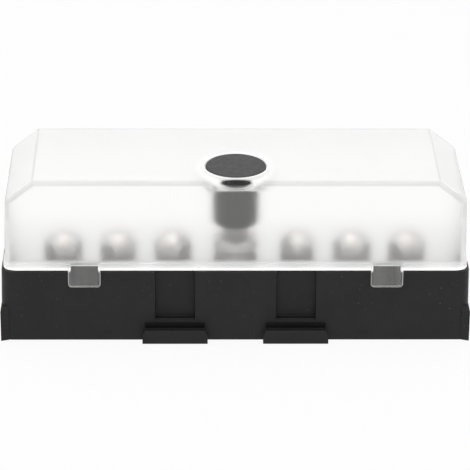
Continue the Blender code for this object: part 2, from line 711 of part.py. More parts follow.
def cover_mesh(material):
    """The cover: a filleted shell with sloping shoulders, a flange, four clips, the knob's well and its collar."""
    origin = (0, 0, 0)
    outside = cover_shape(0.0, cover_bottom)
    flange = block(
        "flange", flange_half_length, flange_half_depth, cover_bottom, cover_bottom + FLANGE_HEIGHT, FLANGE_CORNER,
        FLANGE_EDGE,
    )
    steps = [(flange, "UNION", origin)]
    for sign_x in (-1, 1):
        for sign_y in (-1, 1):
            steps.append((clip_root(sign_x, sign_y), "UNION", origin))
            steps.append((clip(sign_x, sign_y), "UNION", origin))
    steps += [(clip_notch(sign_x, sign_y), "DIFFERENCE", origin) for sign_x in (-1, 1) for sign_y in (-1, 1)]
    steps.append((cover_shape(COVER_WALL, cover_bottom - MM), "DIFFERENCE", origin))
    radius = knob_diameter / 2 + WELL_ROOM + WELL_WALL
    boss = turned("boss", [(radius, well_floor - WELL_FLOOR), (radius, cover_top - COVER_WALL / 2)])
    boss = solid_from(boss, [(cover_shape(COVER_WALL / 2, cover_bottom), "INTERSECT", (0, -row_y, 0))], material)
    steps.append((boss, "UNION", (0, row_y, 0)))
    steps.append((collar(), "UNION", (0, row_y, 0)))
    steps.append((well_cut(), "DIFFERENCE", (0, row_y, 0)))
    return solid_from(outside, steps, material)


def knob_mesh(material):
    """The knob: a flat head on a long sleeve, bored from below for the stud and its threaded insert."""
    head, sleeve = knob_diameter / 2, sleeve_diameter / 2
    mouth = CENTRE_DIAMETER / 2 + SLEEVE_MOUTH_ROOM
    bore_radius = CENTRE_DIAMETER / 2 + SLEEVE_BORE_ROOM
    pocket = insert_diameter / 2 + THREAD_ROOM
    profile = [(mouth, sleeve_bottom)]
    profile += arc((sleeve - KNOB_EDGE, sleeve_bottom + KNOB_EDGE), KNOB_EDGE, 270, 360, 2)
    profile.append((sleeve, knob_head_bottom))
    profile += arc((head - KNOB_EDGE, knob_head_bottom + KNOB_EDGE), KNOB_EDGE, 270, 360, 2)
    profile += arc((head - KNOB_EDGE, knob_top - KNOB_EDGE), KNOB_EDGE, 0, 90, 3)
    profile.append((0.0, knob_top))
    bore = [(0.0, knob_top - SLEEVE_TOP_WALL), (bore_radius, knob_top - SLEEVE_TOP_WALL)]
    bore += [(bore_radius, insert_top + GAP), (pocket, insert_top + GAP)]
    bore += [(pocket, insert_bottom - GAP), (mouth, insert_bottom - GAP)]
    mesh = turned("knob", profile + bore, endless=True)
    mesh.materials.append(material)
    smooth(mesh)
    return mesh


def insert_mesh(material):
    """The knob's threaded insert, with a groove between its two bands."""
    outer, bore = insert_diameter / 2, CENTRE_DIAMETER / 2 + THREAD_ROOM
    profile = [(bore, 0.0), (outer, 0.0), (outer, INSERT_BAND), (outer - INSERT_GROOVE, INSERT_BAND)]
    profile += [(outer - INSERT_GROOVE, INSERT_LENGTH - INSERT_BAND), (outer, INSERT_LENGTH - INSERT_BAND)]
    profile += [(outer, INSERT_LENGTH), (bore, INSERT_LENGTH)]
    mesh = turned("insert", profile, 36, endless=True)
    mesh.materials.append(material)
    smooth(mesh)
    return mesh


def build():
    clear_scene()
    black = finish("black_moulding", (0.03, 0.03, 0.03), 0.55)
    steel = finish("polished_steel", (0.72, 0.68, 0.67), 0.2, 1.0)
    tinned = finish("tinned_copper", (0.75, 0.74, 0.71), 0.35, 1.0)
    brass = finish("brass", (0.78, 0.62, 0.3), 0.3, 1.0)
    frosted = finish("frosted_cover", (0.95, 0.95, 0.94), 0.4, 0.0, 0.9)
    soft_black = finish("knob_moulding", (0.05, 0.05, 0.05), 0.6)
    nylon = finish("nylon", (0.85, 0.84, 0.8), 0.5)

    place("base", tray_mesh(black))
    place("bus_bar", bus_bar_mesh(tinned), position=(0, row_y, bar_bottom))

    stud = bolt_mesh(STUD_DIAMETER, STUD_HEAD_FLATS, STUD_HEAD_HEIGHT, stud_top - HEAD_RECESS, steel)
    washer = washer_mesh(STUD_DIAMETER + 2 * THREAD_ROOM, WASHER_DIAMETER, WASHER_THICKNESS, steel)
    spring = spring_washer_mesh(STUD_DIAMETER + 2 * THREAD_ROOM, SPRING_DIAMETER, SPRING_THICKNESS, steel)
    cap_nut = cap_nut_mesh(STUD_DIAMETER + 2 * THREAD_ROOM, steel)
    for number, x in enumerate(stud_xs, 1):
        turn = math.radians(CAP_NUT_TURNS[(number - 1) % len(CAP_NUT_TURNS)])
        place(f"stud_{number}", stud, position=(x, row_y, HEAD_RECESS))
        place(f"flat_washer_{number}", washer, position=(x, row_y, washer_bottom))
        place(f"spring_washer_{number}", spring, position=(x, row_y, spring_bottom), turn=4 * turn)
        place(f"cap_nut_{number}", cap_nut, position=(x, row_y, cap_nut_bottom), turn=turn)

    centre_bore = CENTRE_DIAMETER + 2 * THREAD_ROOM
    centre_length = centre_stud_top - HEAD_RECESS
    centre_turn = math.radians(CENTRE_NUT_TURN)
    place("centre_stud", bolt_mesh(CENTRE_DIAMETER, CENTRE_HEAD_FLATS, CENTRE_HEAD_HEIGHT, centre_length, steel),
          position=(0, row_y, HEAD_RECESS))
    place("centre_flat_washer", washer_mesh(centre_bore, CENTRE_WASHER_DIAMETER, CENTRE_WASHER_THICKNESS, steel),
          position=(0, row_y, washer_bottom))
    place("centre_spring_washer",
          spring_washer_mesh(centre_bore, CENTRE_SPRING_DIAMETER, CENTRE_SPRING_THICKNESS, steel),
          position=(0, row_y, centre_spring_bottom), turn=math.radians(140))
    place("centre_nut", nut_mesh(centre_bore, CENTRE_NUT_FLATS, CENTRE_NUT_HEIGHT, steel),
          position=(0, row_y, centre_nut_bottom), turn=centre_turn)
    place("centre_lock_nut", nut_mesh(centre_bore, CENTRE_NUT_FLATS, LOCK_NUT_HEIGHT, steel),
          position=(0, row_y, lock_nut_bottom), turn=centre_turn)

    place("cover", cover_mesh(frosted))

    knob_axis = bpy.data.objects.new("knob_axis", None)
    bpy.context.scene.collection.objects.link(knob_axis)
    knob_axis.location = (0, row_y, 0)
    slip_bore = sleeve_diameter + 2 * GAP
    place("knob_washer", washer_mesh(slip_bore, knob_diameter, SLIP_WASHER_THICKNESS, nylon),
          position=(0, 0, slip_washer_bottom), parent=knob_axis)
    place("knob", knob_mesh(soft_black), parent=knob_axis)
    place("knob_insert", insert_mesh(brass), position=(0, 0, insert_bottom), parent=knob_axis)


build()
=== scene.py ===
# %% [markdown]
# # A covered bus bar, dressed for its photograph
#
# The object is a black moulded tray that carries a flat bar on a row of studs, under a frosted cover
# that a round knob holds down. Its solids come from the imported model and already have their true
# sizes. This lesson gives every one of them its finish, and replaces those whose small forms matter,
# such as nuts, threads and the knob, with surfaces worked out from formulas.
#
# All lengths are in metres. X runs along the row of studs, Z is up, and the front looks along -Y.

import math

import bmesh
import bpy
import numpy as np
from mathutils import Matrix, Vector


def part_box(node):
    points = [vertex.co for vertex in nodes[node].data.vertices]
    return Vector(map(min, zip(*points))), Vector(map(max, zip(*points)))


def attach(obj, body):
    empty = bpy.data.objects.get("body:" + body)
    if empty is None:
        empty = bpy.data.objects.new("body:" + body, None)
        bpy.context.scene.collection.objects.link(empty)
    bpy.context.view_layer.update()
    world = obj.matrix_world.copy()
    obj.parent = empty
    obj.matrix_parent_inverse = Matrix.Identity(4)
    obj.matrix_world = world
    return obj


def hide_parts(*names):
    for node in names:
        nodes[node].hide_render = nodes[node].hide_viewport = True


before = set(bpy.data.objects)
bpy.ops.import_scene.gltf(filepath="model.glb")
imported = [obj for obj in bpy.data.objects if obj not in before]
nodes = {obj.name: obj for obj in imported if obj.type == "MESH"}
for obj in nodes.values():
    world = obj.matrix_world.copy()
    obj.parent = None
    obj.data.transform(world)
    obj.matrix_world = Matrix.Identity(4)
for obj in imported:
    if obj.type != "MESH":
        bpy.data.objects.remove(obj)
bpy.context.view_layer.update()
MM = 0.001

# %% [markdown]
# ## The camera
#
# A photograph taken from a metre away with a long lens shows parallel edges as almost parallel. The
# lens length and the place of this camera were worked out from the long edges of the object, which
# must fall on the same pixels in the render. The camera looks down by 24.7 degrees. It stands a
# little to the left, so it is also turned about its own upright axis by one degree.

# %% Put the camera where the photographer stood
LOOK_DOWN = math.radians(24.70)
LOOK_RIGHT = math.radians(1.008)
CAMERA_PLACE = (-0.01873, -0.97493, 0.47954)
LENS_LENGTH = 207.55

camera_data = bpy.data.cameras.new("photo_camera")
camera_data.sensor_width = 36.0
camera_data.lens = LENS_LENGTH
camera = bpy.data.objects.new("photo_camera", camera_data)
bpy.context.scene.collection.objects.link(camera)
camera.matrix_world = (
    Matrix.Translation(CAMERA_PLACE)
    @ Matrix.Rotation(math.pi / 2 - LOOK_DOWN, 4, "X")
    @ Matrix.Rotation(-LOOK_RIGHT, 4, "Y")
)
camera_data.clip_start, camera_data.clip_end = 0.05, 20.0
bpy.context.scene.camera = camera
print("camera", [round(v, 3) for v in camera.location])

# %% [markdown]
# ## A white studio
#
# The object was photographed on white and cut out. A floor in plain white paint carries its soft
# shadow. Seen straight from the camera, or in a reflection or through the cover, part of the floor's
# light is white paper instead, so the page stays white without any extra light on the object.

# %% Small helpers for writing materials
def input_name(key):
    """An input's number or name: _0 stands for the first, Base_Color for the one named Base Color."""
    return int(key[1:]) if key.startswith("_") else key.replace("_", " ")


def node_adder(tree):
    """A function that adds one node to a tree: a socket is wired to an input, a number is set on it."""
    def add(kind, **inputs):
        node = tree.nodes.new(kind)
        for key, value in inputs.items():
            if key in ("operation", "data_type"):
                setattr(node, key, value)
            elif isinstance(value, bpy.types.NodeSocket):
                tree.links.new(value, node.inputs[input_name(key)])
            else:
                node.inputs[input_name(key)].default_value = value
        return node

    return add


def calc(add, operation, first, *others):
    """A math node's result for two values, or for more of them one after another."""
    for other in others:
        first = add("ShaderNodeMath", operation=operation, _0=first, _1=other).outputs[0]
    return first


def new_material(name):
    """An empty node material, and the function that adds nodes to it."""
    material = bpy.data.materials.new(name)
    material.use_nodes = True
    material.node_tree.nodes.clear()
    return material, node_adder(material.node_tree)


def paint(node_object, material):
    """Gives a solid or a piece one material all over."""
    node_object.data.materials.clear()
    node_object.data.materials.append(material)


# %% Build the floor and the light
def white_light_share(add, share):
    """1 for rays that see the page directly, in gloss or through the cover, times a share."""
    path = add("ShaderNodeLightPath").outputs
    seen = calc(add, "MAXIMUM", path["Is Camera Ray"], path["Is Glossy Ray"], path["Is Transmission Ray"])
    return calc(add, "MULTIPLY", seen, share)


PAPER_SHARE = 0.9
FLOOR_HALF = 3.0
FLOOR_DROP = 0.0002
SKY_LEVEL = 0.75
WHITE = (1.0, 1.0, 1.0, 1.0)

floor_paint, add = new_material("white_floor")
diffuse = add("ShaderNodeBsdfDiffuse", Color=(0.9, 0.9, 0.9, 1.0))
paper = add("ShaderNodeEmission", Color=WHITE, Strength=1.0)
seen = white_light_share(add, PAPER_SHARE)
mix = add("ShaderNodeMixShader", Fac=seen, _1=diffuse.outputs[0], _2=paper.outputs[0])
add("ShaderNodeOutputMaterial", Surface=mix.outputs[0])

floor_mesh = bpy.data.meshes.new("studio_floor")
corners = np.array([(-1, -1), (1, -1), (1, 1), (-1, 1)]) * FLOOR_HALF
floor_mesh.from_pydata([(x, y, -FLOOR_DROP) for x, y in corners], [], [(0, 1, 2, 3)])
studio_floor = bpy.data.objects.new("studio_floor", floor_mesh)
bpy.context.scene.collection.objects.link(studio_floor)
paint(studio_floor, floor_paint)

world = bpy.data.worlds.new("white_studio")
bpy.context.scene.world = world
world.use_nodes = True
world.node_tree.nodes.clear()
add = node_adder(world.node_tree)
seen = white_light_share(add, 1.0)
strength = add("ShaderNodeMapRange", Value=seen, To_Min=SKY_LEVEL, To_Max=1.0)
sky = add("ShaderNodeBackground", Color=WHITE, Strength=strength.outputs[0])
add("ShaderNodeOutputWorld", Surface=sky.outputs[0])


def softbox(name, place, size, watts):
    """A square area lamp that looks at the object's middle."""
    lamp = bpy.data.lights.new(name, "AREA")
    lamp.shape = "SQUARE"
    lamp.size = size
    lamp.energy = watts
    thing = bpy.data.objects.new(name, lamp)
    bpy.context.scene.collection.objects.link(thing)
    aim = Vector((0.0, 0.0, 0.03)) - Vector(place)
    thing.matrix_world = Matrix.Translation(place) @ aim.to_track_quat("-Z", "Y").to_matrix().to_4x4()


softbox("key_softbox", place=(-0.15, -0.05, 1.1), size=0.8, watts=3.5)
bpy.context.scene.view_settings.view_transform = "Standard"
print("studio built")

# %% [markdown]
# ## Seen through frosted plastic
#
# Frosted plastic spreads light to all sides. What lies against it shows clearly, but a thing farther
# behind fades into white, as in fog, because each point of the cover gathers light from a wider field.
# The law of fog is used here: what is left of a thing's own light is the exponential of minus the
# distance over a fading length, and a painted white glow, an emission on the thing itself, fills the
# rest; it stands in for the light that the cover scatters. The distance is that from the cover's inside
# to the thing. A small share of painted glow is there even at no distance, for the whitish frosted
# skin. Metal has a larger share, a painted reflection of the bright inside of the cover. All this
# counts only for light that came through the cover, so everything keeps its own colour once the
# cover is off.

# %% The painted white glow that the cover mixes into what lies behind it
FADE_START = 12.0 * MM
FADE_LENGTH = 11.0 * MM
PAINTED_FOG_GLOW = (1.0, 1.0, 0.988, 1.0)
PAINTED_VEIL = 0.05
METAL_PAINTED_REFLECTION = 0.23


def without(add, mask):
    """A mask turned round: one less its value."""
    return calc(add, "SUBTRACT", 1.0, mask)


def seen_through(add, shader, painted_veil=PAINTED_VEIL):
    """Mixes a painted white glow into a finish by the law of fog, for rays that came through the cover.
    """
    path = add("ShaderNodeLightPath").outputs
    behind = calc(add, "MAXIMUM", calc(add, "SUBTRACT", path["Ray Length"], FADE_START), 0.0)
    fade = calc(add, "DIVIDE", behind, -FADE_LENGTH)
    left = add("ShaderNodeMath", operation="EXPONENT", _0=fade).outputs[0]
    fog = without(add, calc(add, "MULTIPLY", left, 1.0 - painted_veil))
    share = calc(add, "MULTIPLY", fog, path["Is Transmission Ray"])
    # Painted glow: white emission on the thing behind the cover, for light that the cover scatters.
    white = add("ShaderNodeEmission", Color=PAINTED_FOG_GLOW, Strength=1.0)
    mix = add("ShaderNodeMixShader", Fac=share, _1=shader.outputs[0], _2=white.outputs[0])
    add("ShaderNodeOutputMaterial", Surface=mix.outputs[0])


def object_noise(add, scale, stretch=(1.0, 1.0, 1.0), detail=3.0, roughness=0.5):
    """Noise in the piece's own coordinates: scale counts its waves in a metre, before stretching."""
    place = add("ShaderNodeTexCoord").outputs["Object"]
    size = add("ShaderNodeMapping", Vector=place, Scale=stretch)
    noise = add(
        "ShaderNodeTexNoise", Vector=size.outputs[0], Scale=scale, Detail=detail, Roughness=roughness
    )
    return noise.outputs["Fac"]


def spread(add, value, low, high, start=0.3, end=0.7):
    """Maps values from start to end on low to high, and holds them there outside."""
    node = add("ShaderNodeMapRange", Value=value, From_Min=start, From_Max=end, To_Min=low, To_Max=high)
    return node.outputs[0]


def blend_colour(add, share, one, two):
    """A colour between two, by a share from 0 to 1. Each is a colour or another node's result."""
    ends = [(*end, 1.0) if isinstance(end, tuple) else end for end in (one, two)]
    node = add("ShaderNodeMix", data_type="RGBA", _0=share, _6=ends[0], _7=ends[1])
    return node.outputs[2]


def edge_share(add, radius, gain):
    """How near an edge is, from how far the normal averaged over a radius leans, and that normal."""
    rounded = add("ShaderNodeBevel", Radius=radius)
    rounded.samples = 4
    true = add("ShaderNodeNewGeometry").outputs["Normal"]
    match = add("ShaderNodeVectorMath", operation="DOT_PRODUCT", _0=rounded.outputs[0], _1=true)
    leaning = without(add, match.outputs["Value"])
    share = add("ShaderNodeMath", operation="MULTIPLY", _0=leaning, _1=gain)
    share.use_clamp = True
    return share.outputs[0], rounded.outputs[0]


def bumps(add, strength, distance, height, **under):
    """The normal of a surface with fine bumps, of which the height is given."""
    return add("ShaderNodeBump", Strength=strength, Distance=distance, Height=height, **under).outputs[0]


print("fog ready")

# %% [markdown]
# ## Black mouldings
#
# The tray is glass-filled nylon from a spark-eroded mould, so its skin has a fine even grain and a
# satin gloss. Its edges are slightly round and carry a painted highlight, a lighter colour near each
# edge where light would catch it. A little dust sits on the black.
# The grain is noise in the tray's own coordinates, given to the normal. The knob is of the same
# family, but its top is blasted coarser and looks greyer.

# %% The tray's and the knob's plastic
black, add = new_material("black_moulding")
edge, soft_normal = edge_share(add, 0.5 * MM, 2.5)
cloud = spread(add, object_noise(add, 90.0), 0.0, 1.0)
speck = spread(add, object_noise(add, 1100.0, detail=2.0), 0.0, 1.0, 0.715, 0.78)
skin = blend_colour(add, cloud, (0.0095, 0.0095, 0.0095), (0.0125, 0.0125, 0.0125))
dusty = blend_colour(add, speck, skin, (0.075, 0.073, 0.069))
# Painted highlight: the colour grows lighter near edges, as if they caught the light.
painted_edge_highlight = blend_colour(add, edge, dusty, (0.030, 0.029, 0.028))
gloss = spread(add, object_noise(add, 260.0), 0.44, 0.56)
grain = bumps(add, 0.35, 0.02 * MM, object_noise(add, 2600.0, detail=2.0), Normal=soft_normal)
shader = add("ShaderNodeBsdfPrincipled", Base_Color=painted_edge_highlight, Roughness=gloss, Normal=grain)
shader.inputs["Specular IOR Level"].default_value = 0.28
seen_through(add, shader)

knob_black, add = new_material("knob_black")
edge, soft_normal = edge_share(add, 0.4 * MM, 2.0)
mottle = spread(add, object_noise(add, 700.0, detail=4.0, roughness=0.6), 0.0, 1.0)
skin = blend_colour(add, mottle, (0.030, 0.030, 0.030), (0.048, 0.048, 0.048))
gloss = spread(add, object_noise(add, 500.0), 0.5, 0.62)
grain = bumps(add, 0.5, 0.03 * MM, object_noise(add, 1800.0, detail=2.0), Normal=soft_normal)
shader = add("ShaderNodeBsdfPrincipled", Base_Color=skin, Roughness=gloss, Normal=grain)
seen_through(add, shader)
print("black finishes ready")

# %% [markdown]
# ## Metals
#
# The nuts and washers are polished stainless steel. The studs are a duller steel, and their colour is
# also painted darker, as painted shade under the knob's sleeve and for the dark things they mirror.
# They keep faint rings from the lathe, which the noise makes by changing quickly with height and
# hardly at all across. The bar is copper with a skin of tin, which is clouded and has rubbing marks
# along its length. The insert in the knob is turned brass. Towards its rim, where it is seen at a
# slant, each metal mirrors less than a perfect one would, because its skin is not quite smooth.

# %% Steel, tinned copper and brass
RIM = (0.45, 0.43, 0.42, 1.0)
TURNED = (1.0, 1.0, 60.0)
RUBBED = (1.0, 40.0, 40.0)


def metal(name, dark, bright, rough, stretch):
    """A metal with clouded colour, fine tool marks in its normal, uneven gloss and a darker rim."""
    material, add = new_material(name)
    cloud = spread(add, object_noise(add, 140.0), 0.0, 1.0)
    gloss = spread(add, object_noise(add, 420.0), *rough)
    marks = bumps(add, 0.05, 0.02 * MM, object_noise(add, 60.0, stretch, detail=2.0))
    colour = blend_colour(add, cloud, dark, bright)
    shader = add(
        "ShaderNodeBsdfPrincipled", Base_Color=colour, Roughness=gloss, Metallic=1.0, Normal=marks
    )
    shader.inputs["Specular Tint"].default_value = RIM
    # A metal takes a larger share of painted glow: a painted reflection of the cover's bright inside.
    seen_through(add, shader, METAL_PAINTED_REFLECTION)
    return material


steel = metal("polished_steel", (0.76, 0.725, 0.71), (0.82, 0.785, 0.77), (0.33, 0.43), TURNED)
# The studs' steel is painted dark: painted shade under the knob's sleeve and painted dark reflection.
painted_shade_stud_steel = metal("shade_darkened_steel", (0.24, 0.228, 0.222), (0.32, 0.305, 0.297), (0.34, 0.46), TURNED)
tinned = metal("tinned_bar", (0.66, 0.655, 0.63), (0.78, 0.77, 0.745), (0.32, 0.46), RUBBED)
brass = metal("turned_brass", (0.72, 0.56, 0.26), (0.82, 0.66, 0.34), (0.22, 0.34), TURNED)

nylon, add = new_material("natural_nylon")
cloud = spread(add, object_noise(add, 300.0), 0.0, 1.0)
milk = blend_colour(add, cloud, (0.80, 0.79, 0.74), (0.88, 0.87, 0.83))
gloss = spread(add, object_noise(add, 900.0), 0.4, 0.55)
shader = add("ShaderNodeBsdfPrincipled", Base_Color=milk, Roughness=gloss)
shader.inputs["Subsurface Weight"].default_value = 0.1
shader.inputs["Subsurface Radius"].default_value = (MM, MM, MM)
seen_through(add, shader)
print("metals ready")

# %% [markdown]
# ## The frosted cover
#
# The cover is clear polycarbonate whose mould was blasted inside and out, so light goes through it but
# is spread on the way. A rough surface that transmits does just that, with a little white haze mixed
# in. The haze is not the same everywhere. Where the wall is seen along its length, as in the flange at
# its foot and in the boss round the knob's well, light has a long way through the plastic, so it looks
# whiter. The clips and an oval window at the front of the boss come from polished parts of the mould
# and are clear. Each of these places is a mask: a number from 0 to 1, worked out from the height above
# the underside and from how far a point lies from the knob's axis or from another middle.

# %% Masks by place
def distance(add, place, middle, scale):
    """How far a place lies from a middle, with each axis counted by its own scale."""
    offset = add("ShaderNodeVectorMath", operation="SUBTRACT", _0=place, _1=middle)
    scaled = add("ShaderNodeVectorMath", operation="MULTIPLY", _0=offset.outputs[0], _1=scale)
    return add("ShaderNodeVectorMath", operation="LENGTH", _0=scaled.outputs[0]).outputs["Value"]


def below(add, length, limit, soft):
    """A mask that is 1 up to a limit and fades out past it. Limit and softness are in millimetres."""
    return spread(add, length, 1.0, 0.0, limit * MM, (limit + soft) * MM)


def above(add, length, limit, soft):
    """A mask that is 0 up to a limit and rises to 1 past it. Limit and softness are in millimetres."""
    return spread(add, length, 0.0, 1.0, limit * MM, (limit + soft) * MM)


# The limits of the masks are written in millimetres.
BOSS_RADIUS, WELL_RADIUS = 15.2, 12.4
LIP_TOP, FLANGE_TOP, BOSS_FOOT = 29.9, 32.4, 62.2
CLIP_FACE = 28.9
WINDOW_HALF_WIDTH, WINDOW_HALF_HEIGHT = 6.6, 2.1
WINDOW_HEIGHT, WINDOW_BACK = 64.8, -24.0

frosted, add = new_material("frosted_cover")
place = add("ShaderNodeTexCoord").outputs["Object"]
split = add("ShaderNodeSeparateXYZ", Vector=place)
height = split.outputs["Z"]

knob_low, knob_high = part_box("knob")
axis = ((knob_low[0] + knob_high[0]) / 2, (knob_low[1] + knob_high[1]) / 2, 0.0)
away = distance(add, place, axis, (1.0, 1.0, 0.0))
near_axis = below(add, away, BOSS_RADIUS, 1.0)
boss = calc(add, "MULTIPLY", near_axis, above(add, height, BOSS_FOOT, 0.5))

window_middle = (0.0, 0.0, WINDOW_HEIGHT * MM)
window_scale = (1 / WINDOW_HALF_WIDTH, 0.0, 1 / WINDOW_HALF_HEIGHT)
oval = below(add, distance(add, place, window_middle, window_scale), 0.82, 0.23)
window = calc(add, "MULTIPLY", boss, oval, below(add, split.outputs["Y"], WINDOW_BACK, 1.0))
painted_glow_well = calc(add, "MULTIPLY", boss, below(add, away, WELL_RADIUS, 0.3), without(add, window))

low_down = below(add, height, FLANGE_TOP, 0.6)
depth = distance(add, place, (0.0, 0.0, 0.0), (0.0, 1.0, 0.0))
clip = calc(add, "MULTIPLY", low_down, above(add, depth, CLIP_FACE, 0.3))
flange = calc(add, "MULTIPLY", low_down, without(add, clip))
painted_glow_lip = calc(add, "MULTIPLY", flange, below(add, height, LIP_TOP, 0.4))
print("masks by place ready")

# %% [markdown]
# ## Grey lines at the folds
#
# Where two faces of the cover meet, the plastic is bent round a fillet. Light that would come straight
# through is bent away there, so a fold shows as a thin grey line, which is painted here as shade in the
# cover's colour. The mask compares the surface's direction with those of the four kinds of flat face:
# top, shoulder, end and front. The cosine of the angle to the nearest of them is close to 1 on a face
# and falls off on a fillet.

# %% A mask by direction
SHOULDER_RUN, SHOULDER_DROP = 10.6, 8.4

shoulder = Vector((SHOULDER_DROP, 0.0, SHOULDER_RUN)).normalized()
flat_faces = [(0.0, 0.0, 1.0), tuple(shoulder), (1.0, 0.0, 0.03), (0.0, 1.0, 0.0)]
direction = add("ShaderNodeTexCoord").outputs["Normal"]
either_side = add("ShaderNodeVectorMath", operation="ABSOLUTE", _0=direction).outputs[0]
matches = [
    add("ShaderNodeVectorMath", operation="DOT_PRODUCT", _0=either_side, _1=face).outputs["Value"]
    for face in flat_faces
]
bent = spread(add, calc(add, "MAXIMUM", *matches), 1.0, 0.0, 0.968, 0.978)
# Where the folds get their painted grey line.
painted_fold_shade = calc(add, "MULTIPLY", bent, above(add, height, 48.0, 4.0), without(add, near_axis))
print("folds from", len(flat_faces), "kinds of face")

# %% [markdown]
# ## Putting the cover's plastic together
#
# The masks now steer one shader. Haze is the share of light that the plastic scatters back as white,
# and the rest goes through. It is strong in the flange and the boss, and on the clips only along
# their edges and in a few drawn streaks. A colour multiplies what goes through, and it is painted
# shade: a little grey low on the walls, for the dark of the black tray there, darker at the folds, and
# darkest in the window, for the shade of the knob's head behind it. The flange's foot and the inside
# of the well are given a painted glow, an emission that stands in for light that runs along inside the
# wall and comes out where the wall ends.

# %% The cover's plastic
FROSTED, POLISHED = 0.60, 0.18
PLAIN_HAZE = 0.025


def strongest(add, *pairs):
    """The largest of several masks, each times its share."""
    return calc(add, "MAXIMUM", *(calc(add, "MULTIPLY", mask, share) for mask, share in pairs))


clip_edge, _ = edge_share(add, 0.5 * MM, 6.0)
streaks = object_noise(add, 500.0, (1.0, 1.0, 0.05), detail=2.0)
clip_haze = strongest(add, (spread(add, streaks, 0.0, 0.10), 1.0), (clip_edge, 0.8))
clip_haze = calc(add, "MULTIPLY", clip, clip_haze)
haze = calc(add, "MAXIMUM", strongest(add, (flange, 0.55), (boss, 0.85)), clip_haze, PLAIN_HAZE)
haze = calc(add, "MULTIPLY", haze, without(add, window))
rough = spread(add, calc(add, "MAXIMUM", window, clip), FROSTED, POLISHED, 0.0, 1.0)

# Painted shade in the colour: greyer low on the walls, darker at the folds and in the window.
painted_wall_shade = spread(add, height, 0.81, 0.99, 33.0 * MM, 52.0 * MM)
painted_light_level = strongest(add, (painted_wall_shade, 1.0), (low_down, 0.95))
painted_light_level = calc(add, "MULTIPLY", painted_light_level, without(add, strongest(add, (painted_fold_shade, 0.2), (window, 0.6))))
colour = blend_colour(add, painted_light_level, (0.0, 0.0, 0.0), (1.0, 1.0, 0.995))

# Emission here is a painted glow at the flange's foot and inside the well, for light led along the wall.
shader = add(
    "ShaderNodeBsdfPrincipled", Base_Color=colour, Roughness=rough, IOR=1.18,
    Transmission_Weight=without(add, haze),
    Normal=bumps(add, 0.08, 0.02 * MM, object_noise(add, 1500.0, detail=2.0)),
    Emission_Color=WHITE, Emission_Strength=strongest(add, (painted_glow_lip, 0.3), (painted_glow_well, 0.35)),
)
seen_through(add, shader, painted_veil=0.0)

paint(nodes["base"], black)
paint(nodes["bus_bar"], tinned)
paint(nodes["cover"], frosted)
print("cover ready")

# %% [markdown]
# ## Surfaces from formulas
#
# Nuts, washers, studs and the knob were made on lathes, in presses and in moulds, so each of them is
# one simple curve carried round an axis. Here such a piece is a grid of points: every row is a ring,
# and its radius, height and angle come from a formula that works on the whole grid at once. Formulas
# keep corners true, where a sculpted mesh would wander. The grid is closed over both ends and its
# faces are turned outwards by measuring the volume that they hold.

# %% Turn grids of points into pieces
def ring_points(radius, height, angle, centre):
    """Grid points in cylinder form: x and y are the radius times the cosine and sine of the angle."""
    radius, height, angle = np.broadcast_arrays(radius, height, angle)
    across, along = radius * np.cos(angle), radius * np.sin(angle)
    return np.stack([centre[0] + across, centre[1] + along, centre[2] + height], axis=-1)


def grid_quads(rows, columns, around, along):
    """Quads between neighbours of a grid, closed around its columns and along its rows where asked."""
    row = np.arange(rows if along else rows - 1)[:, None]
    column = np.arange(columns if around else columns - 1)[None, :]
    next_row, next_column = (row + 1) % rows, (column + 1) % columns
    corners = (
        row * columns + column,
        row * columns + next_column,
        next_row * columns + next_column,
        next_row * columns + column,
    )
    return np.stack(np.broadcast_arrays(*corners), axis=-1).reshape(-1, 4)


def volume_inside(points, quads):
    """Six times the volume: the triple product of each triangle's corners, summed over the surface."""
    a, b, c, d = (points[quads[:, k]] for k in range(4))
    return np.einsum("ij,ij->", a, np.cross(b, c)) + np.einsum("ij,ij->", a, np.cross(c, d))


def surface_piece(name, grid, material, body, node, around=True, along=False, sharp=35.0):
    """Makes one closed piece of a grid, which rides on a body and stands for a solid."""
    points = grid.reshape(-1, 3)
    quads = grid_quads(grid.shape[0], grid.shape[1], around, along)
    middle = points.mean(axis=0)
    if volume_inside(points - middle, quads) < 0:
        quads = quads[:, ::-1]
    mesh = bpy.data.meshes.new(name)
    mesh.from_pydata(points.tolist(), [], quads.tolist())
    work = bmesh.new()
    work.from_mesh(mesh)
    bmesh.ops.remove_doubles(work, verts=work.verts, dist=1e-6)
    bmesh.ops.dissolve_degenerate(work, edges=work.edges, dist=1e-7)
    work.to_mesh(mesh)
    work.free()
    mesh.shade_smooth()
    mesh.set_sharp_from_angle(angle=math.radians(sharp))
    mesh.materials.append(material)
    thing = bpy.data.objects.new(name, mesh)
    bpy.context.scene.collection.objects.link(thing)
    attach(thing, body)
    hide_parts(node)


def full_turn(steps):
    """Equal angles round a circle, as one row."""
    return np.linspace(0.0, 2 * math.pi, steps, endpoint=False)[None, :]


def arc_profile(centre_radius, centre_height, radius, start, end, steps):
    """Radius and height along an arc in the upright plane, between two angles in degrees."""
    swing = np.radians(np.linspace(start, end, steps))
    out, up = radius * np.cos(swing), radius * np.sin(swing)
    return np.stack([centre_radius + out, centre_height + up], axis=-1)


def seat_of(node):
    """The middle of a solid's footprint at its lowest height, and its height, read from its box."""
    low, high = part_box(node)
    return ((low[0] + high[0]) / 2, (low[1] + high[1]) / 2, low[2]), high[2] - low[2]


print("helpers ready")

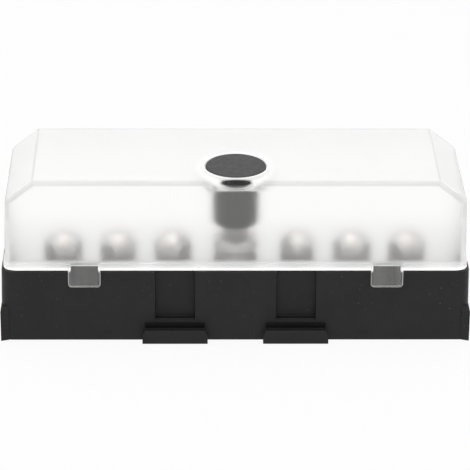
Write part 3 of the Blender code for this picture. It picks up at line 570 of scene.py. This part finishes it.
# %% [markdown]
# ## Cap nuts and the centre nuts
#
# A hexagon nut is cut from hexagon bar. The corners are then turned off at 30 degrees, so that each
# flat ends in the curve where a cone meets a plane. In the formula, the radius follows the flat,
# which is half the width across flats over the cosine of the angle from the middle of that flat. The
# cone meets it at the height where both radii are equal, and the rows of the grid follow that height
# round the nut, so the curve is exact. The six outer nuts are closed, and their tops are turned to a
# ball as wide as the corners. The same rule serves there: the ball's tilt starts where it meets the
# hexagon, at the arcsine of the hexagon's radius over the ball's, and shrinks to nothing at the top.

# %% Hexagon nuts
M8_FLATS, M8_BORE = 13.0 * MM, 4.2 * MM
M10_FLATS, M10_BORE = 17.0 * MM, 5.2 * MM
CORNER_ROUND = 0.35 * MM
FACE_SHARE = 0.475
CUT_SLOPE = math.tan(math.radians(30.0))
BORE_CUT = 0.5 * MM
BLIND_DEPTH = 11.0 * MM
BALL_RADIUS = M8_FLATS / math.sqrt(3) + 0.1 * MM
NUT_TURNS = (8.0, 22.0, -14.0, 26.0, -4.0, 12.0)


def hexagon_angles(steps):
    """Angles round a hexagon, packed closer near its six corners, as one row."""
    share = np.linspace(0.0, 1.0, steps, endpoint=False)
    packed = share - 0.09 * np.sin(2 * math.pi * share)
    sector = np.arange(6)[:, None]
    return ((sector + packed[None, :]) * math.pi / 3).reshape(1, -1)


def hexagon_radius(angle, flats):
    """Distance from the axis to a hexagon's flats, or to the arc that rounds the nearest corner."""
    from_corner = np.abs((angle + math.pi / 6) % (math.pi / 3) - math.pi / 6)
    flat = flats / 2 / np.cos(math.pi / 6 - from_corner)
    middle = (flats / 2 - CORNER_ROUND) / math.cos(math.pi / 6)
    inside = np.maximum(CORNER_ROUND**2 - (middle * np.sin(from_corner)) ** 2, 0.0)
    rounded = middle * np.cos(from_corner) + np.sqrt(inside)
    tangent = math.atan2(CORNER_ROUND * 0.5, middle + CORNER_ROUND * math.cos(math.pi / 6))
    return np.where(from_corner < tangent, rounded, flat)


def rows_of(angle, *levels):
    """Stacks (radius, height) levels, each a number or a whole row, into two grids."""
    radius = np.concatenate([np.broadcast_to(np.asarray(r, float), angle.shape) for r, _ in levels])
    height = np.concatenate([np.broadcast_to(np.asarray(z, float), angle.shape) for _, z in levels])
    return radius, height


def nut_grid(node, flats, bore, turn, ball=None):
    """A nut's grid: bore, lower cone and flats, then a ball's top, or the upper cone and the bore."""
    centre, height = seat_of(node)
    angle = hexagon_angles(12)
    corner = hexagon_radius(angle, flats)
    face = FACE_SHARE * flats
    cut = (corner - face) * CUT_SLOPE
    soft = 0.12 * MM
    levels = [(bore + BORE_CUT, 0.0), (face - soft, 0.0), (face + soft, soft * CUT_SLOPE)]
    levels += [(corner, cut), (corner, cut + soft)]
    if ball is None:
        levels += [(corner, height - cut - soft), (corner, height - cut)]
        levels += [(face + soft, height - soft * CUT_SLOPE), (face - soft, height)]
        levels += [(bore + BORE_CUT, height), (bore, height - BORE_CUT), (bore, BORE_CUT)]
    else:
        meeting = np.arcsin(corner / ball)
        tilts = [meeting * share for share in np.linspace(1.0, 0.0, 15)]
        levels.append((corner, height - ball + ball * np.cos(meeting) - soft))
        levels += [(ball * np.sin(tilt), height - ball + ball * np.cos(tilt)) for tilt in tilts]
        levels += [(0.0, BLIND_DEPTH), (bore, BLIND_DEPTH), (bore, BORE_CUT)]
    radius, rise = rows_of(angle, *levels)
    return ring_points(radius, rise, angle + math.radians(turn), centre)


for number, turn in enumerate(NUT_TURNS, 1):
    node = f"cap_nut_{number}"
    grid = nut_grid(node, M8_FLATS, M8_BORE, turn, BALL_RADIUS)
    surface_piece(f"ball_nut_{number}", grid, steel, "tray", node, along=True, sharp=24.0)

for node, name in (("centre_nut", "main_nut"), ("centre_lock_nut", "lock_nut")):
    surface_piece(name, nut_grid(node, M10_FLATS, M10_BORE, 30.0), steel, "tray", node, along=True)

print("nuts:", len(NUT_TURNS), "closed and 2 plain")

# %% [markdown]
# ## Washers
#
# A flat washer is punched from sheet: the side where the punch went in has a round edge, the other a
# sharp one. A spring washer is a turn of square wire, cut through once. Its ends stand slightly apart
# in height even when it is tight, so its height grows with the angle.

# %% Flat washers and spring washers
def washer_grid(node, bore, round_edge):
    """A flat ring whose upper outer edge is round: its section is carried once round the axis."""
    centre, height = seat_of(node)
    low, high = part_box(node)
    outer = (high[0] - low[0]) / 2
    nick = 0.1 * MM
    edge = arc_profile(outer - round_edge, height - round_edge, round_edge, 0, 90, 5)
    profile = np.array([
        (bore, nick), (bore + nick, 0.0), (outer - nick, 0.0), (outer, nick), *edge,
        (bore + 2 * nick, height), (bore, height - 2 * nick),
    ])
    return ring_points(profile[:, :1], profile[:, 1:], full_turn(64), centre)


def spring_grid(node, bore, outer, turn):
    """A square wire with round edges, carried from one side of its split to the other as it climbs."""
    centre, height = seat_of(node)
    climb = 0.3 * MM
    half_gap = 0.7 * MM / outer
    swing = np.linspace(half_gap, 2 * math.pi - half_gap, 72)[:, None]
    half_width, half_height, edge = (outer - bore) / 2, (height - climb) / 2, 0.3 * MM
    corners = [(1, 1, 0), (-1, 1, 90), (-1, -1, 180), (1, -1, 270)]
    section = np.concatenate([
        arc_profile(sx * (half_width - edge), sy * (half_height - edge), edge, start, start + 90, 4)
        for sx, sy, start in corners
    ])
    out, up = section[None, :, 0], section[None, :, 1]
    rise = half_height + up + climb * (swing - half_gap) / (2 * math.pi)
    lean = math.radians(7.0) * up / half_height / 2
    body = ring_points((outer + bore) / 2 + out, rise, swing + lean + math.radians(turn), centre)
    ends = [np.broadcast_to(row.mean(axis=0), row.shape)[None] for row in (body[0], body[-1])]
    return np.concatenate([ends[0], body, ends[1]])


def plain_washer(name, node, bore, round_edge):
    """A plain steel washer in place of a flat ring."""
    surface_piece(name, washer_grid(node, bore, round_edge), steel, "tray", node, along=True)


def split_washer(name, node, bore, outer, turn):
    """A split steel washer in place of a cut ring."""
    surface_piece(name, spring_grid(node, bore, outer, turn), steel, "tray", node)


for number, turn in enumerate(NUT_TURNS, 1):
    plain_washer(f"plain_washer_{number}", f"flat_washer_{number}", M8_BORE, 0.35 * MM)
    split_washer(f"split_washer_{number}", f"spring_washer_{number}", M8_BORE, 7.4 * MM, 4 * turn)
plain_washer("main_plain_washer", "centre_flat_washer", M10_BORE, 0.4 * MM)
split_washer("main_split_washer", "centre_spring_washer", M10_BORE, 9.05 * MM, 140.0)
print("washers:", len(NUT_TURNS) + 1, "plain and as many split")

# %% [markdown]
# ## Studs
#
# The studs are hexagon bolts pressed into the tray from below. Their threads are rolled, not cut. A
# thread is one groove that winds round a rod, so its radius depends only on the height less the part
# of a pitch that the angle has used up. Each row of the grid climbs by one pitch a turn, and lies
# wholly on a crest, a root or the edge of one, so the crests stay crisp with few faces.

# %% Threaded studs
THREAD_DEPTH = 0.6134
THREAD_STEPS = np.array([0.0, 0.25, 0.5625, 0.6875])


def stud_grid(node, diameter, flats, head, pitch, plain):
    """Hexagon head, plain shank, then a thread: radius is root plus depth times a trapezoid wave."""
    centre, length = seat_of(node)
    angle = np.linspace(0.0, 2 * math.pi, 61)[None, :]
    corner = hexagon_radius(angle, flats)
    face, radius, fillet = FACE_SHARE * flats, diameter / 2, 0.4 * MM
    cut = (corner - face) * CUT_SLOPE
    levels = [(0.0, 0.0), (face, 0.0), (corner, cut), (corner, head), (radius + fillet, head)]
    levels += [(radius, head + fillet), (radius, plain)]
    low_radius, low_height = rows_of(angle, *levels)
    depth = THREAD_DEPTH * pitch
    turns = int((length - plain) / pitch) + 2
    start = np.arange(-1, turns)[:, None] + THREAD_STEPS[None, :]
    wave = np.tile([0.0, 0.0, 1.0, 1.0], turns + 1)[:, None]
    climb = plain + pitch * (start.reshape(-1, 1) + angle / (2 * math.pi))
    height = np.clip(climb, plain, length)
    run_in = np.clip((height - plain) / pitch, 0.0, 1.0)
    threaded = radius - depth * (1 - wave) * run_in
    tip = radius - 0.1 * diameter + (length - height)
    top_radius = np.minimum(threaded, tip)
    zero = np.zeros_like(angle)
    grid_radius = np.concatenate([low_radius, top_radius, zero])
    grid_height = np.concatenate([low_height, height, zero + length])
    return ring_points(grid_radius, grid_height, angle, centre)


for number in range(1, 7):
    node = f"stud_{number}"
    grid = stud_grid(node, 8.0 * MM, M8_FLATS, head=5.3 * MM, pitch=1.25 * MM, plain=12.0 * MM)
    surface_piece(f"threaded_stud_{number}", grid, painted_shade_stud_steel, "tray", node, around=False)
grid = stud_grid("centre_stud", 10.0 * MM, M10_FLATS, head=6.4 * MM, pitch=1.5 * MM, plain=18.0 * MM)
surface_piece("main_threaded_stud", grid, painted_shade_stud_steel, "tray", "centre_stud", around=False)
print("studs: 6 of M8 and 1 of M10")

# %% [markdown]
# ## The knob
#
# The knob is one moulding: a flat head for the thumb and a long sleeve that reaches down to the stud,
# with a brass insert moulded in. Everything about it is round, so one profile is turned about its
# axis. The mould leaves soft edges and a finely blasted top. The insert is knurled to stop it from
# turning in the plastic, with straight ribs on two bands, so there the radius also waves with the
# angle.

# %% The knob, its insert and its slip washer
def knob_grid(node):
    """One profile turned about the axis: sleeve, underside, soft rim, slight crown, then the bore."""
    centre, height = seat_of(node)
    head, sleeve, mouth, pocket, bore = 11.7 * MM, 8.85 * MM, 6.0 * MM, 6.7 * MM, 5.5 * MM
    under, roof, pocket_top, pocket_floor = height - 3.6 * MM, height - 4.0 * MM, 13.8 * MM, 1.2 * MM
    low_edge, top_edge, crown = 0.4 * MM, 0.5 * MM, 0.12 * MM
    profile = np.concatenate([
        [(mouth, 0.0)],
        arc_profile(sleeve - low_edge, low_edge, low_edge, 270, 360, 6),
        [(sleeve, under - top_edge)],
        arc_profile(sleeve + top_edge, under - top_edge, top_edge, 180, 90, 5),
        arc_profile(head - low_edge, under + low_edge, low_edge, 270, 360, 6),
        arc_profile(head - top_edge, height - crown - top_edge, top_edge, 0, 86, 8),
        [(share * head, height - crown * share**2) for share in (0.9, 0.75, 0.5, 0.25, 0.0)],
        [(0.0, roof), (bore, roof), (bore, pocket_top), (pocket, pocket_top)],
        [(pocket, pocket_floor), (mouth, pocket_floor)],
    ])
    return ring_points(profile[:, :1], profile[:, 1:], full_turn(96), centre)


def insert_grid(node):
    """A turned sleeve with two knurled bands: there a cosine of the angle ripples the radius."""
    centre, height = seat_of(node)
    outer, waist, ripple, ribs = 6.5 * MM, 5.7 * MM, 0.12 * MM, 36
    angle = full_turn(4 * ribs)
    knurl = outer + ripple * (np.cos(ribs * angle) - 1)
    inner, end, cut = M10_BORE, outer - 0.5 * MM, 0.3 * MM
    levels = [(inner + cut, 0.0), (end, 0.0), (knurl, 0.4 * MM), (knurl, 3.3 * MM)]
    levels += [(waist, 3.6 * MM), (waist, height - 3.6 * MM)]
    levels += [(knurl, height - 3.3 * MM), (knurl, height - 0.4 * MM), (end, height)]
    levels += [(inner + cut, height), (inner, height - cut), (inner, cut)]
    radius, rise = rows_of(angle, *levels)
    return ring_points(radius, rise, angle, centre)


surface_piece("hand_knob_moulding", knob_grid("knob"), knob_black, "hand_knob", "knob", along=True)
grid = insert_grid("knob_insert")
surface_piece("threaded_insert", grid, brass, "hand_knob", "knob_insert", along=True)
grid = washer_grid("knob_washer", 9.15 * MM, 0.2 * MM)
surface_piece("slip_ring", grid, nylon, "slip_washer", "knob_washer", along=True)
print("knob built")
